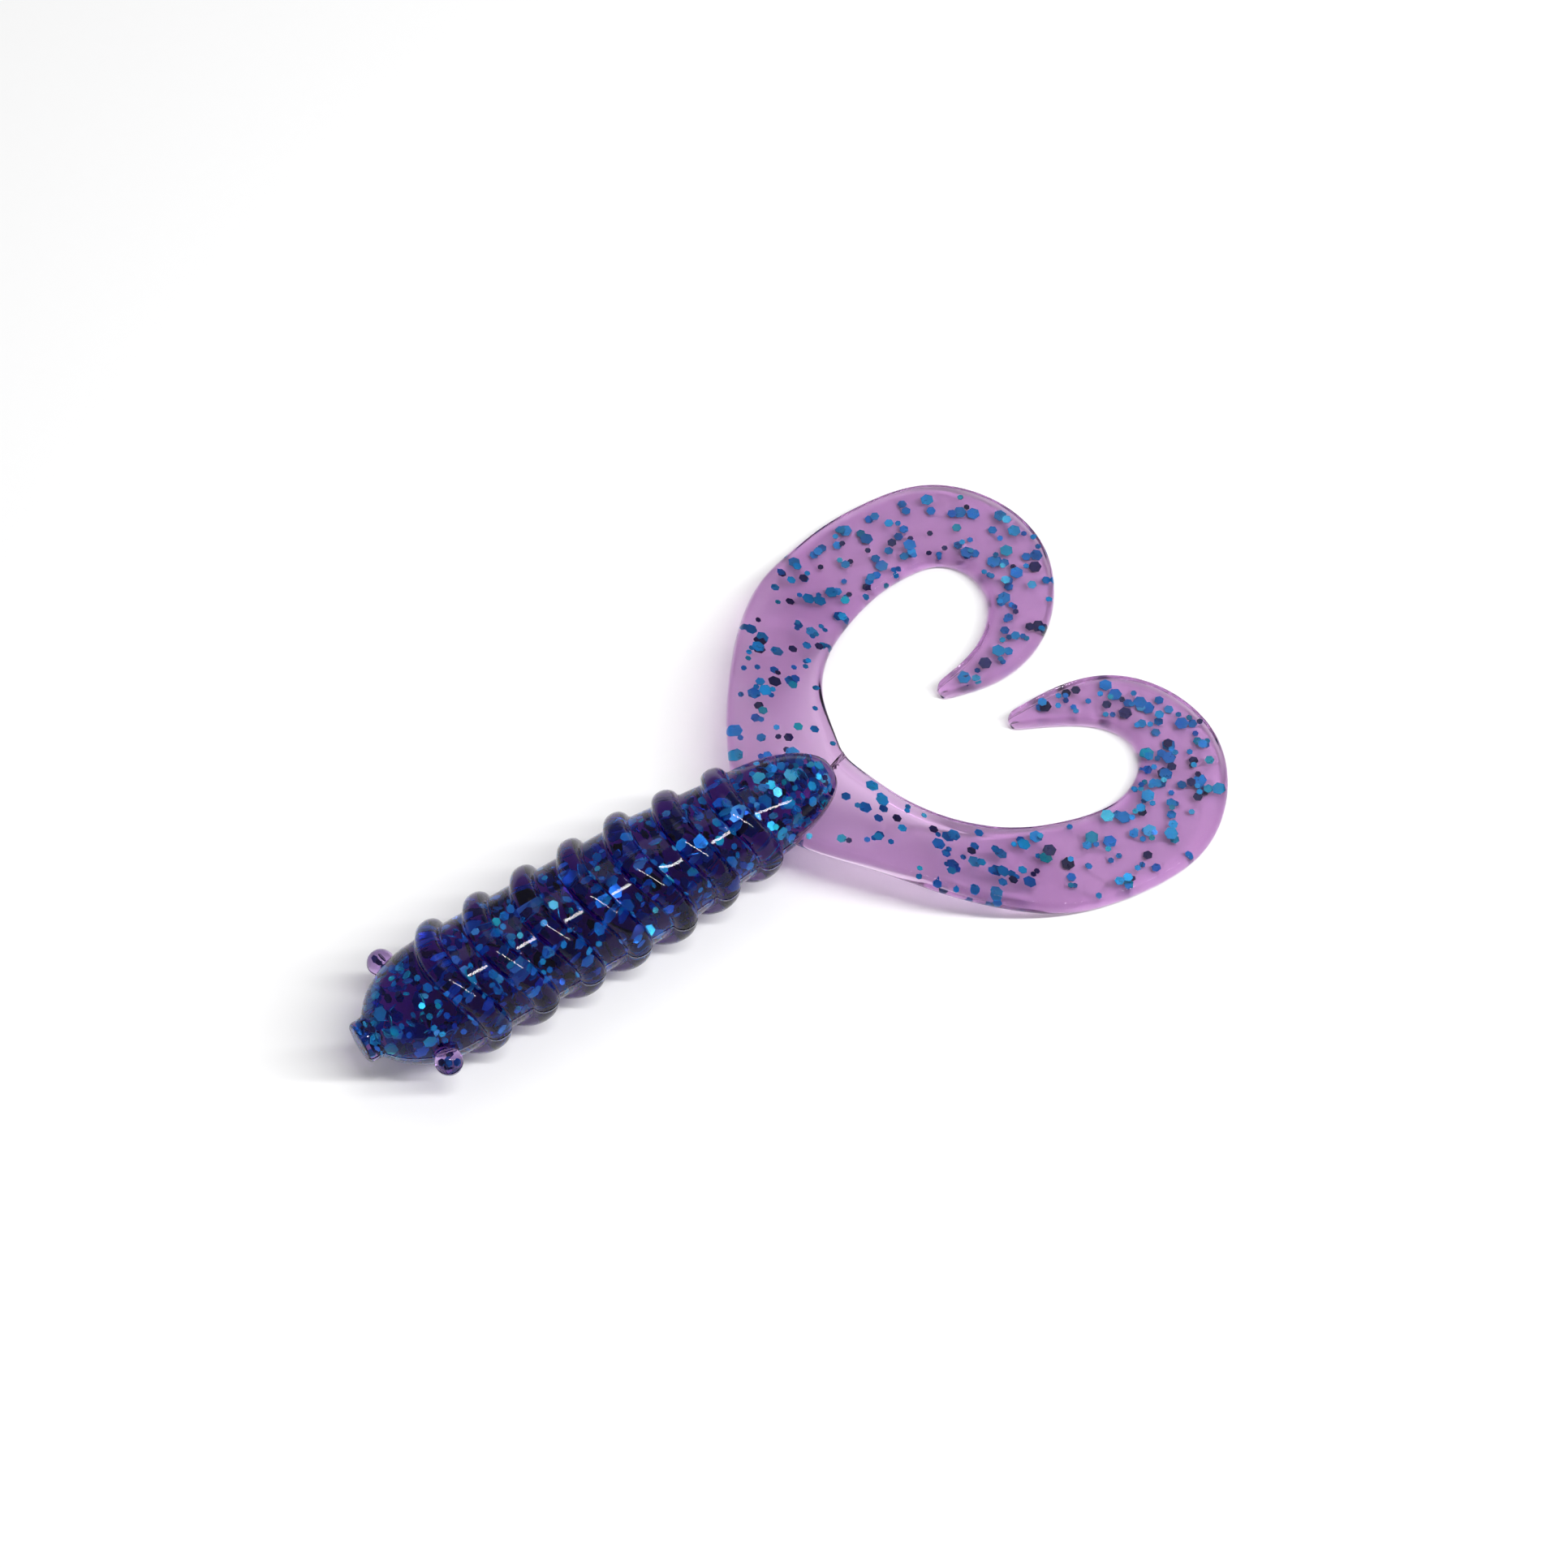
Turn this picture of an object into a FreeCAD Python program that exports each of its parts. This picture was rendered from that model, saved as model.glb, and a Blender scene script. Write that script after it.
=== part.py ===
import FreeCAD, Part
import math
import os

# Soft plastic twin-tail worm, millimetres.
# Origin: centre of the small flat face on the nose nub.  +X runs down the trunk to the tails,
# +Z is up, and the parting plane of the mould is Z = 0.  The worm lies on the plane Z = FLOOR_Z:
# the trunk on its ribs, and both flat tails drooped down on to the same plane.

# ---- driving dimensions --------------------------------------------------------------------
CORE_R = 3.95            # trunk between the ribs
NUB_R = 1.4              # round nub on the nose
NUB_RIM_R = 0.2
NUB_ROOT_X = 2.52        # the nub's bar reaches this far into the head before the head is cut from it
NOSE_TIP_X = 0.3         # where the dome of the head would end without the nub
HEAD_END_X = 6.3         # dome turns into the straight trunk here
TAPER_START_X = 21.8     # trunk starts to narrow towards the tails
TONGUE_START_X = 28.68   # last rib, where the rounded trunk end begins
TONGUE_START_R = 3.27
TONGUE_END_X = 35.75

RIB_COUNT = 7
RIB_FIRST_X = 7.8        # on the parting plane, where each rib lies furthest back
RIB_PITCH = 3.48
RIB_SWEEP = 1.7          # ribs curve this much towards the nose at the top and at the bottom
RIB_PROUD = 0.72         # crest above the trunk
RIB_BASE_W = 1.8         # width where it meets the trunk
RIB_STEPS = 12           # sections along each half of a rib

EYE_X = 4.05
EYE_Y = 4.15
EYE_BALL_R = 0.9
EYE_STEM_R = 0.5
EYE_STEM_ROOT_Y = 2.5    # the stem starts inside the head

BALL_R = 3.3             # the bend in the middle of the trunk is drawn as a ball in a cup
BALL_GAP = 0.2
BEND_FRONT_GAP = 0.8     # groove in front of the bend centre, room for the bend
BEND_REAR_GAP = 0.3

TAIL_T = 1.2             # thickness of the flat tails
DROOP_START_X = 33.0     # the tail plate leaves the parting plane here
DROOP_END_X = 46.0       # and lies flat from here on
DROOP_ANGLE = math.radians(24)
FLAP_X = 38.0            # tails flap about a line across the plate here
FLAP_GAP = 0.22
WEB_ROUND_R = 2.5        # the web between the tails is rounded in plan
WEB_CORNER = (36.9, 0.7)

COARSE_FLAKE = 0.89      # glitter, across the flats of the hexagon (.035 inch)
FINE_FLAKE = 0.38        # (.015 inch)
FLAKE_T = 0.06
FLAKE_APART = 1.1        # centres of two flakes are never nearer
TRUNK_SKIN = 0.35        # clear plastic outside the flakes
TAIL_SKIN = 0.3
FLAKE_REACH = 0.6        # of its size, from a flake's centre to its corner
INNERMOST_SHARE = 0.25   # of the trunk's section, left free along its middle
TAIL_DEPTH_SHARE = 0.5   # of the plate's thickness that flakes are spread over
FLAKE_FLAP_CLEAR = 1.5   # no flakes this near the flap line
FRONT_GLITTER_X = (7.2, 15.6)
REAR_GLITTER_X = (24.3, 28.0)
COARSE_SEED = 0
FINE_SEED = 1000
FIRST_STATION = 2.0      # flakes lie between these places, counted in points of a tail's middle line
LAST_STATION = 12.7

REACH = 60               # cutting blocks are this big, and no part is
HALF_REACH = REACH / 2

# ---- worked out ----------------------------------------------------------------------------
FLOOR_Z = -(CORE_R + RIB_PROUD)
DROOP = -FLOOR_Z - TAIL_T / 2
BEND_X = RIB_FIRST_X + 3.5 * RIB_PITCH

# Middle line of each tail in plan, from inside the trunk to the tip, and the half width there.
# The two tails come out of one mould; they only lie in slightly different curls.
FAR_TAIL_LINE = [
    (32.5, -0.2), (33.9, 3.0), (36.0, 7.15), (39.1, 10.8), (42.9, 13.6), (47.35, 14.95), (50.5, 15.0),
    (53.55, 14.3), (55.7, 12.1), (56.4, 9.05), (55.4, 6.1), (53.2, 3.9), (50.25, 2.85), (47.1, 2.85),
]
NEAR_TAIL_LINE = [
    (32.2, 1.9), (33.7, -1.25), (35.9, -5.2), (38.9, -8.75), (42.7, -11.4), (46.9, -13.2), (49.9, -13.8),
    (52.9, -13.6), (55.5, -12.05), (57.1, -9.5), (57.0, -6.5), (55.3, -4.0), (52.6, -2.6), (49.65, -1.8),
]
TAIL_HALF_WIDTH = [3.7, 3.7, 3.15, 3.05, 3.3, 3.3, 3.25, 3.3, 3.1, 2.8, 2.35, 1.97, 1.37, 0.6]

X_AXIS = FreeCAD.Vector(1, 0, 0)
Y_AXIS = FreeCAD.Vector(0, 1, 0)
Z_AXIS = FreeCAD.Vector(0, 0, 1)
ORIGIN = FreeCAD.Vector(0, 0, 0)


def point(x, y, z=0.0):
    return FreeCAD.Vector(x, y, z)


def save(name, shape):
    shape.exportStep(os.path.join("parts", name + ".step"))
    print(name, "volume", round(shape.Volume, 3), "solids", len(shape.Solids), "valid", shape.isValid())


# ---- trunk ---------------------------------------------------------------------------------
def core_radius(x):
    """Radius of the trunk between the ribs at any x behind the head."""
    if x <= TAPER_START_X:
        return CORE_R
    if x <= TONGUE_START_X:
        part = (x - TAPER_START_X) / (TONGUE_START_X - TAPER_START_X)
        return CORE_R + (TONGUE_START_R - CORE_R) * part
    part = (x - TONGUE_START_X) / (TONGUE_END_X - TONGUE_START_X)
    return TONGUE_START_R * math.sqrt(max(0.0, 1 - part * part))


def ellipse_quarter(centre_x, reach, radius, to_tip_at_front):
    """Quarter of an ellipse in the XY plane, about the trunk's axis."""
    if reach >= radius:
        curve = Part.Ellipse(point(centre_x + reach, 0), point(centre_x, radius), point(centre_x, 0))
    else:
        curve = Part.Ellipse(point(centre_x, radius), point(centre_x - reach, 0), point(centre_x, 0))
    top = curve.parameter(point(centre_x, radius))
    side = -reach if to_tip_at_front else reach
    tip = curve.parameter(point(centre_x + side, 0))
    low, high = min(top, tip), max(top, tip)
    if high - low > math.pi:
        low, high = high, low + 2 * math.pi
    return curve.toShape(low, high)


def turned(edges):
    """Solid turned from a half outline that starts and ends on the X axis."""
    wire = Part.Wire(Part.__sortEdges__(edges))
    return Part.Face(wire).revolve(ORIGIN, X_AXIS, 360)


def core_solid():
    """The whole trunk without ribs: domed head, straight part, taper and rounded end."""
    head = ellipse_quarter(HEAD_END_X, HEAD_END_X - NOSE_TIP_X, CORE_R, True)
    straight = Part.makeLine(point(HEAD_END_X, CORE_R), point(TAPER_START_X, CORE_R))
    taper = Part.makeLine(point(TAPER_START_X, CORE_R), point(TONGUE_START_X, TONGUE_START_R))
    tongue = ellipse_quarter(TONGUE_START_X, TONGUE_END_X - TONGUE_START_X, TONGUE_START_R, False)
    axis = Part.makeLine(point(TONGUE_END_X, 0), point(NOSE_TIP_X, 0))
    return turned([head, straight, taper, tongue, axis])


def slab_of_x(low, high):
    """A big block between two planes across the trunk."""
    return Part.makeBox(high - low, REACH, REACH, point(low, -HALF_REACH, -HALF_REACH))


CORE = core_solid()


def make_nub():
    bar = Part.makeCylinder(NUB_R, NUB_ROOT_X, ORIGIN, X_AXIS)
    rim = [e for e in bar.Edges if abs(e.BoundBox.XMax) < 1e-6]
    return bar.makeFillet(NUB_RIM_R, rim).cut(CORE)


def make_head():
    return CORE.common(slab_of_x(0, HEAD_END_X))


def swept_x(x, height):
    """Where a line that follows the ribs is at a height above the parting plane."""
    return x - RIB_SWEEP * (height / CORE_R) ** 2


def behind_swept_cut(x):
    """Block behind a cut across the trunk that curves forward as the ribs do."""
    curve = Part.BSplineCurve()
    top = 6
    curve.interpolate([point(swept_x(x, z), 0, z) for z in range(-top, top + 1)])
    corner_x = swept_x(x, top)
    corners = [(corner_x, top), (REACH, top), (REACH, -top), (corner_x, -top)]
    back = Part.makePolygon([point(corner[0], 0, corner[1]) for corner in corners])
    wire = Part.Wire(Part.__sortEdges__([curve.toShape()] + back.Edges))
    return Part.Face(wire).translate(point(0, -top)).extrude(Y_AXIS * 2 * top)


def straight_trunk():
    return CORE.common(slab_of_x(HEAD_END_X, TONGUE_START_X))


def make_trunk_front():
    front = straight_trunk().cut(behind_swept_cut(BEND_X - BEND_FRONT_GAP))
    return front.fuse(Part.makeSphere(BALL_R, point(BEND_X, 0))).removeSplitter()


def make_trunk_rear():
    cup = Part.makeSphere(BALL_R + BALL_GAP, point(BEND_X, 0))
    return straight_trunk().common(behind_swept_cut(BEND_X + BEND_REAR_GAP)).cut(cup)


def make_tongue():
    return CORE.common(slab_of_x(TONGUE_START_X, TONGUE_END_X + 1))


def half_rib(x, tube_r, sunk, side):
    """Round bar bent over one half of the trunk, from the parting plane up and back down to it."""
    sections = []
    for step in range(RIB_STEPS + 1):
        around = side * math.pi * step / RIB_STEPS
        place_x = swept_x(x, CORE_R * math.sin(around))
        radius = core_radius(place_x) - sunk
        centre = point(place_x, radius * math.cos(around), radius * math.sin(around))
        along = point(0, -math.sin(around), math.cos(around)) * side
        sections.append(Part.Wire([Part.Circle(centre, along, tube_r).toShape()]))
    return Part.makeLoft(sections, True, False, False)


def make_rib(x):
    """Half-round ring standing on the trunk, as two halves that meet on the parting plane."""
    rise = RIB_BASE_W ** 2 / 4 / RIB_PROUD
    tube_r = (RIB_PROUD + rise) / 2
    sunk = (rise - RIB_PROUD) / 2
    return half_rib(x, tube_r, sunk, 1).fuse(half_rib(x, tube_r, sunk, -1)).cut(CORE)


def make_eye(side):
    """Ball on a short stem, standing out of the head in the parting plane."""
    ball = Part.makeSphere(EYE_BALL_R, point(EYE_X, side * EYE_Y))
    stem_root = point(EYE_X, side * EYE_STEM_ROOT_Y)
    stem = Part.makeCylinder(EYE_STEM_R, EYE_Y - EYE_STEM_ROOT_Y, stem_root, Y_AXIS * side)
    return ball.fuse(stem).cut(CORE).removeSplitter()


# ---- drooping tail plate -------------------------------------------------------------------
DROOP_RUN = DROOP_END_X - DROOP_START_X
DROOP_SLOPE_L = (DROOP - math.tan(DROOP_ANGLE / 2) * DROOP_RUN) / (
    math.sin(DROOP_ANGLE) - math.tan(DROOP_ANGLE / 2) * math.cos(DROOP_ANGLE))
DROOP_R = (DROOP_RUN - DROOP_SLOPE_L * math.cos(DROOP_ANGLE)) / (2 * math.sin(DROOP_ANGLE))
BEND_1_END_X = DROOP_START_X + DROOP_R * math.sin(DROOP_ANGLE)
BEND_2_START_X = DROOP_END_X - DROOP_R * math.sin(DROOP_ANGLE)
PLATE_FRONT_X = TONGUE_START_X - 1
PLATE_BACK_X = DROOP_END_X + 20


def droop_angle(x):
    """How steeply the plate falls at x."""
    if x <= DROOP_START_X or x >= DROOP_END_X:
        return 0.0
    if x < BEND_1_END_X:
        return math.asin((x - DROOP_START_X) / DROOP_R)
    if x > BEND_2_START_X:
        return math.asin((DROOP_END_X - x) / DROOP_R)
    return DROOP_ANGLE


def droop_height(x):
    """Height of the plate's middle at x: level, bend, straight slope, bend, level."""
    angle = droop_angle(x)
    if x <= BEND_1_END_X:
        return -DROOP_R * (1 - math.cos(angle))
    if x >= BEND_2_START_X:
        return -DROOP + DROOP_R * (1 - math.cos(angle))
    return -DROOP_R * (1 - math.cos(DROOP_ANGLE)) - (x - BEND_1_END_X) * math.tan(DROOP_ANGLE)


def plate_side(offset):
    """Edges of the plate's upper or lower side in the XZ plane, as runs and arcs."""
    lean_x = math.sin(DROOP_ANGLE)
    lean_z = math.cos(DROOP_ANGLE)
    half_x = math.sin(DROOP_ANGLE / 2)
    half_z = math.cos(DROOP_ANGLE / 2)
    over = DROOP_R + offset
    under = DROOP_R - offset
    first = (DROOP_START_X, -DROOP_R)
    second = (DROOP_END_X, -DROOP + DROOP_R)
    start = point(PLATE_FRONT_X, 0, offset)
    a = point(first[0], 0, offset)
    a_mid = point(first[0] + over * half_x, 0, first[1] + over * half_z)
    b = point(first[0] + over * lean_x, 0, first[1] + over * lean_z)
    c = point(second[0] - under * lean_x, 0, second[1] - under * lean_z)
    d_mid = point(second[0] - under * half_x, 0, second[1] - under * half_z)
    d = point(second[0], 0, second[1] - under)
    end = point(PLATE_BACK_X, 0, -DROOP + offset)
    return [
        Part.makeLine(start, a),
        Part.Arc(a, a_mid, b).toShape(),
        Part.makeLine(b, c),
        Part.Arc(c, d_mid, d).toShape(),
        Part.makeLine(d, end),
    ]


def drooping_plate():
    half_t = TAIL_T / 2
    top = plate_side(half_t)
    bottom = plate_side(-half_t)
    front = Part.makeLine(point(PLATE_FRONT_X, 0, -half_t), point(PLATE_FRONT_X, 0, half_t))
    back = Part.makeLine(point(PLATE_BACK_X, 0, -DROOP - half_t), point(PLATE_BACK_X, 0, -DROOP + half_t))
    wire = Part.Wire(Part.__sortEdges__(top + [back] + bottom + [front]))
    return Part.Face(wire).translate(point(0, -HALF_REACH)).extrude(Y_AXIS * REACH)


def middle_curve(line):
    curve = Part.BSplineCurve()
    curve.interpolate([point(x, y) for x, y in line])
    return curve


def tail_station(curve, line, i):
    """Place and unit direction on the middle line at the i-th point."""
    parameter = curve.parameter(point(*line[i]))
    along = curve.tangent(parameter)[0]
    return point(*line[i]), along


def tail_outline(line):
    """Solid prism over one tail's outline: two side curves and a rounded tip."""
    curve = middle_curve(line)
    left = []
    right = []
    for i, half_width in enumerate(TAIL_HALF_WIDTH):
        place, along = tail_station(curve, line, i)
        across = point(-along.y, along.x)
        left.append(place + across * half_width)
        right.append(place - across * half_width)
    place, along = tail_station(curve, line, len(line) - 1)
    tip = place + along * TAIL_HALF_WIDTH[-1]
    left_side = Part.BSplineCurve()
    left_side.interpolate(left)
    right_side = Part.BSplineCurve()
    right_side.interpolate(right)
    edges = [
        left_side.toShape(),
        Part.Arc(left[-1], tip, right[-1]).toShape(),
        right_side.toShape(),
        Part.makeLine(right[0], left[0]),
    ]
    wire = Part.Wire(Part.__sortEdges__(edges))
    return Part.Face(wire).translate(point(0, 0, -HALF_REACH)).extrude(Z_AXIS * REACH)


PLATE = drooping_plate()
FLAP_Z = droop_height(FLAP_X)


def flap_cylinder(radius):
    return Part.makeCylinder(radius, REACH, point(FLAP_X, -HALF_REACH, FLAP_Z), Y_AXIS)


def beyond_flap_line():
    """Block behind the plane that stands square to the plate on the flap line."""
    block = Part.makeBox(REACH, REACH, REACH, point(FLAP_X, -HALF_REACH, FLAP_Z - HALF_REACH))
    block.rotate(point(FLAP_X, 0, FLAP_Z), Y_AXIS, math.degrees(droop_angle(FLAP_X)))
    return block


def make_blade(line):
    """The free part of one tail, with a round front edge on the flap line."""
    whole = PLATE.common(tail_outline(line))
    edge = flap_cylinder(TAIL_T / 2).common(tail_outline(line))
    return whole.common(beyond_flap_line()).fuse(edge).removeSplitter()


def make_web():
    """The part of the plate that stays with the trunk: both roots, around the tongue."""
    outline = tail_outline(FAR_TAIL_LINE).fuse(tail_outline(NEAR_TAIL_LINE)).removeSplitter()
    corner = [e for e in outline.Edges if e.BoundBox.ZLength > HALF_REACH
              and math.dist((e.BoundBox.XMin, e.BoundBox.YMin), WEB_CORNER) < 0.5]
    outline = outline.makeFillet(WEB_ROUND_R, corner)
    roots = PLATE.common(outline).cut(beyond_flap_line()).cut(flap_cylinder(TAIL_T / 2 + FLAP_GAP))
    return roots.cut(CORE).removeSplitter()


# ---- glitter -------------------------------------------------------------------------------
def halton(index, base):
    """Evenly scattered numbers from 0 to 1."""
    value = 0.0
    step = 1.0 / base
    while index > 0:
        value += step * (index % base)
        index //= base
        step /= base
    return value


def flake(across_flats, place, turn, tilt_axis, tilt):
    """Thin hexagonal flake, turned in its own plane and then tilted."""
    corner_r = across_flats / math.sqrt(3)
    ring = [point(corner_r * math.cos(k * math.pi / 3), corner_r * math.sin(k * math.pi / 3), -FLAKE_T / 2)
            for k in range(7)]
    hexagon = Part.Face(Part.makePolygon(ring)).extrude(Z_AXIS * FLAKE_T)
    hexagon.rotate(ORIGIN, Z_AXIS, math.degrees(turn))
    hexagon.rotate(ORIGIN, tilt_axis, math.degrees(tilt))
    hexagon.translate(place)
    return hexagon


def clear_of(place, others, distance):
    return all((place - other).Length > distance for other in others)


def trunk_glitter(low_x, high_x, across_flats, count, seed, taken):
    """Flakes lying all ways round inside the trunk, each clear of the others and of the skin."""
    flakes = []
    index = seed
    while len(flakes) < count:
        index += 1
        x = low_x + (high_x - low_x) * halton(index, 2)
        reach = core_radius(x) - TRUNK_SKIN - across_flats * FLAKE_REACH
        radius = reach * math.sqrt(INNERMOST_SHARE + (1 - INNERMOST_SHARE) * halton(index, 3))
        around = 2 * math.pi * halton(index, 5)
        place = point(x, radius * math.cos(around), radius * math.sin(around))
        if not clear_of(place, taken, FLAKE_APART):
            continue
        taken.append(place)
        lean_to = 2 * math.pi * halton(index, 7)
        lean_axis = point(math.cos(lean_to), math.sin(lean_to))
        flakes.append(flake(across_flats, place, lean_to * 3, lean_axis, math.pi * halton(index, 11)))
    return Part.makeCompound(flakes)


def tail_glitter(line, across_flats, count, seed, taken):
    """Flakes lying flat in one tail, following its droop."""
    curve = middle_curve(line)
    flakes = []
    index = seed
    while len(flakes) < count:
        index += 1
        station = FIRST_STATION + halton(index, 2) * (LAST_STATION - FIRST_STATION)
        i = int(station)
        share = station - i
        begin = curve.parameter(point(*line[i]))
        end = curve.parameter(point(*line[i + 1]))
        parameter = begin + (end - begin) * share
        middle = curve.value(parameter)
        along = curve.tangent(parameter)[0]
        half_width = TAIL_HALF_WIDTH[i] * (1 - share) + TAIL_HALF_WIDTH[i + 1] * share
        room = half_width - TAIL_SKIN - across_flats * FLAKE_REACH
        aside = room * (2 * halton(index, 3) - 1)
        x = middle.x - along.y * aside
        y = middle.y + along.x * aside
        angle = droop_angle(x)
        depth = (halton(index, 5) - 0.5) * TAIL_T * TAIL_DEPTH_SHARE
        place = point(x + depth * math.sin(angle), y, droop_height(x) + depth * math.cos(angle))
        if x < FLAP_X + FLAKE_FLAP_CLEAR or not clear_of(place, taken, FLAKE_APART):
            continue
        taken.append(place)
        flakes.append(flake(across_flats, place, math.pi * halton(index, 7), Y_AXIS, angle))
    return Part.makeCompound(flakes)


# ---- write every sub-part ------------------------------------------------------------------
os.makedirs("parts", exist_ok=True)

save("nose_nub", make_nub())
save("head", make_head())
save("trunk_front", make_trunk_front())
save("trunk_rear", make_trunk_rear())
save("tail_tongue", make_tongue())
for number in range(RIB_COUNT):
    save("rib_%d" % (number + 1), make_rib(RIB_FIRST_X + number * RIB_PITCH))
save("far_eye", make_eye(1))
save("near_eye", make_eye(-1))
save("tail_web", make_web())
save("far_tail", make_blade(FAR_TAIL_LINE))
save("near_tail", make_blade(NEAR_TAIL_LINE))

front_taken = []
save("glitter_front_coarse", trunk_glitter(*FRONT_GLITTER_X, COARSE_FLAKE, 34, COARSE_SEED, front_taken))
save("glitter_front_fine", trunk_glitter(*FRONT_GLITTER_X, FINE_FLAKE, 34, FINE_SEED, front_taken))
rear_taken = []
save("glitter_rear_coarse", trunk_glitter(*REAR_GLITTER_X, COARSE_FLAKE, 10, COARSE_SEED, rear_taken))
save("glitter_rear_fine", trunk_glitter(*REAR_GLITTER_X, FINE_FLAKE, 10, FINE_SEED, rear_taken))
far_taken = []
save("glitter_far_coarse", tail_glitter(FAR_TAIL_LINE, COARSE_FLAKE, 26, COARSE_SEED, far_taken))
save("glitter_far_fine", tail_glitter(FAR_TAIL_LINE, FINE_FLAKE, 34, FINE_SEED, far_taken))
near_taken = []
save("glitter_near_coarse", tail_glitter(NEAR_TAIL_LINE, COARSE_FLAKE, 26, COARSE_SEED, near_taken))
save("glitter_near_fine", tail_glitter(NEAR_TAIL_LINE, FINE_FLAKE, 34, FINE_SEED, near_taken))

print("floor z", round(FLOOR_Z, 3), "bend x", round(BEND_X, 3), "flap x z", FLAP_X, round(FLAP_Z, 3),
      "droop R", round(DROOP_R, 2), "slope run", round(DROOP_SLOPE_L, 2))
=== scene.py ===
# %% [markdown]
# # A soft plastic worm with two curled tails
#
# The object is one piece of soft, clear purple plastisol, about 60 mm long, with blue
# hexagon glitter moulded into it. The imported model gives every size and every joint.
# Here the same shapes are made again as smooth skins, because clear plastic shows every
# inner wall: a trunk built of touching blocks would show the joins between the blocks.

# %% Load the frame
import math
import random

import bpy
import numpy as np
from mathutils import Matrix, Vector


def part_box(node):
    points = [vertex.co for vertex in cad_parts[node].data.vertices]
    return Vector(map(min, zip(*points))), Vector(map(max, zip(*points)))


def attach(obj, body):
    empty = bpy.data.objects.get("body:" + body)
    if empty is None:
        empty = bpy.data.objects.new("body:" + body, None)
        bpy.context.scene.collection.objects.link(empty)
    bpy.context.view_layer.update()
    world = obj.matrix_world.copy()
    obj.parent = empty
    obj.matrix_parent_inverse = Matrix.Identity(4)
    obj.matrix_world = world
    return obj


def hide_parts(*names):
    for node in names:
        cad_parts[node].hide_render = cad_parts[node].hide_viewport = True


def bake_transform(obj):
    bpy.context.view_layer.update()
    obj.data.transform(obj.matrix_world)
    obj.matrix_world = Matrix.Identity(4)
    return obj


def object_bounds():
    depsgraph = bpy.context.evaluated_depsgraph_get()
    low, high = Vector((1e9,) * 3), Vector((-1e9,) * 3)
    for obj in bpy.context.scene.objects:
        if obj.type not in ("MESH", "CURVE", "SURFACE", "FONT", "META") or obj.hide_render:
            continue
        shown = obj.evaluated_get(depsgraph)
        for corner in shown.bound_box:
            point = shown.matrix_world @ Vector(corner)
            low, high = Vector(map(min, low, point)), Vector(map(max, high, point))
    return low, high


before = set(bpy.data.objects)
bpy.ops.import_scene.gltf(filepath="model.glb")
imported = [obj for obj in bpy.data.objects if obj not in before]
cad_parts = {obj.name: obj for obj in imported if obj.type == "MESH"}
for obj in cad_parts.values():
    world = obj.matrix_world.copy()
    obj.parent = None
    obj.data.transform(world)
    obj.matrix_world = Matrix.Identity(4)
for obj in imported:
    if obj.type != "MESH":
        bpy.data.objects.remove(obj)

MM = 0.001
cad_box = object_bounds()
low, high = (Vector(corner) for corner in cad_box)
print("frame box in mm", [round(v / MM, 2) for v in (*low, *high)])

# %% [markdown]
# ## Camera
#
# The lure lies on a table and is seen from high above its nose end, with the trunk
# running up to the right. A longish lens keeps the trunk's sides almost parallel.

# %% Camera
VIEW_AZIMUTH = math.radians(-33.807)
VIEW_ELEVATION = math.radians(60.0)
VIEW_DISTANCE = 237.22 * MM
towards_camera = Vector((math.sin(VIEW_AZIMUTH) * math.cos(VIEW_ELEVATION),
                         -math.cos(VIEW_AZIMUTH) * math.cos(VIEW_ELEVATION),
                         math.sin(VIEW_ELEVATION)))
middle = (low + high) / 2
aim = Vector((middle.x + 2.51 * MM, 0.826 * MM, 0))
camera = bpy.data.objects.new("camera", bpy.data.cameras.new("camera"))
bpy.context.collection.objects.link(camera)
camera.location = aim + towards_camera * VIEW_DISTANCE
camera.rotation_euler = towards_camera.to_track_quat("Z", "Y").to_euler()
camera.data.sensor_width = 36
camera.data.lens = 83.85
bpy.context.scene.camera = camera
bpy.context.scene.view_settings.view_transform = "Standard"
print("camera at mm", [round(v / MM, 1) for v in camera.location])

# %% [markdown]
# ## Helpers
#
# A few short functions that most of the steps below use: select one piece, name it, apply
# a modifier, close its shell, and count the edges that stay open.

# %% Small helpers for modelling
def deselect():
    """Nothing selected, so that the next operator acts on the new piece only."""
    if bpy.context.object and bpy.context.object.mode != "OBJECT":
        bpy.ops.object.mode_set(mode="OBJECT")
    bpy.ops.object.select_all(action="DESELECT")


def only(piece):
    """Make this piece the only one selected, and active."""
    deselect()
    piece.select_set(True)
    bpy.context.view_layer.objects.active = piece


def named(name):
    """Name the piece that an operator has just made."""
    piece = bpy.context.object
    piece.name = name
    piece.data.name = name
    return piece


def apply_modifier(piece, kind, **values):
    """Add a modifier, set it, and apply it."""
    only(piece)
    modifier = piece.modifiers.new(kind.lower(), kind)
    for key, value in values.items():
        setattr(modifier, key, value)
    bpy.ops.object.modifier_apply(modifier=modifier.name)


def tidy_shell(piece):
    """Weld doubles and turn every face outwards."""
    only(piece)
    bpy.ops.object.mode_set(mode="EDIT")
    bpy.ops.mesh.select_all(action="SELECT")
    bpy.ops.mesh.remove_doubles(threshold=0.0005 * MM)
    bpy.ops.mesh.normals_make_consistent(inside=False)
    bpy.ops.object.mode_set(mode="OBJECT")
    bpy.ops.object.shade_smooth()


def open_edges(piece):
    """How many edges of the piece don't have exactly two faces."""
    count = np.zeros(len(piece.data.edges), int)
    for polygon in piece.data.polygons:
        for key in polygon.loop_indices:
            count[piece.data.loops[key].edge_index] += 1
    return int((count != 2).sum())

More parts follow.
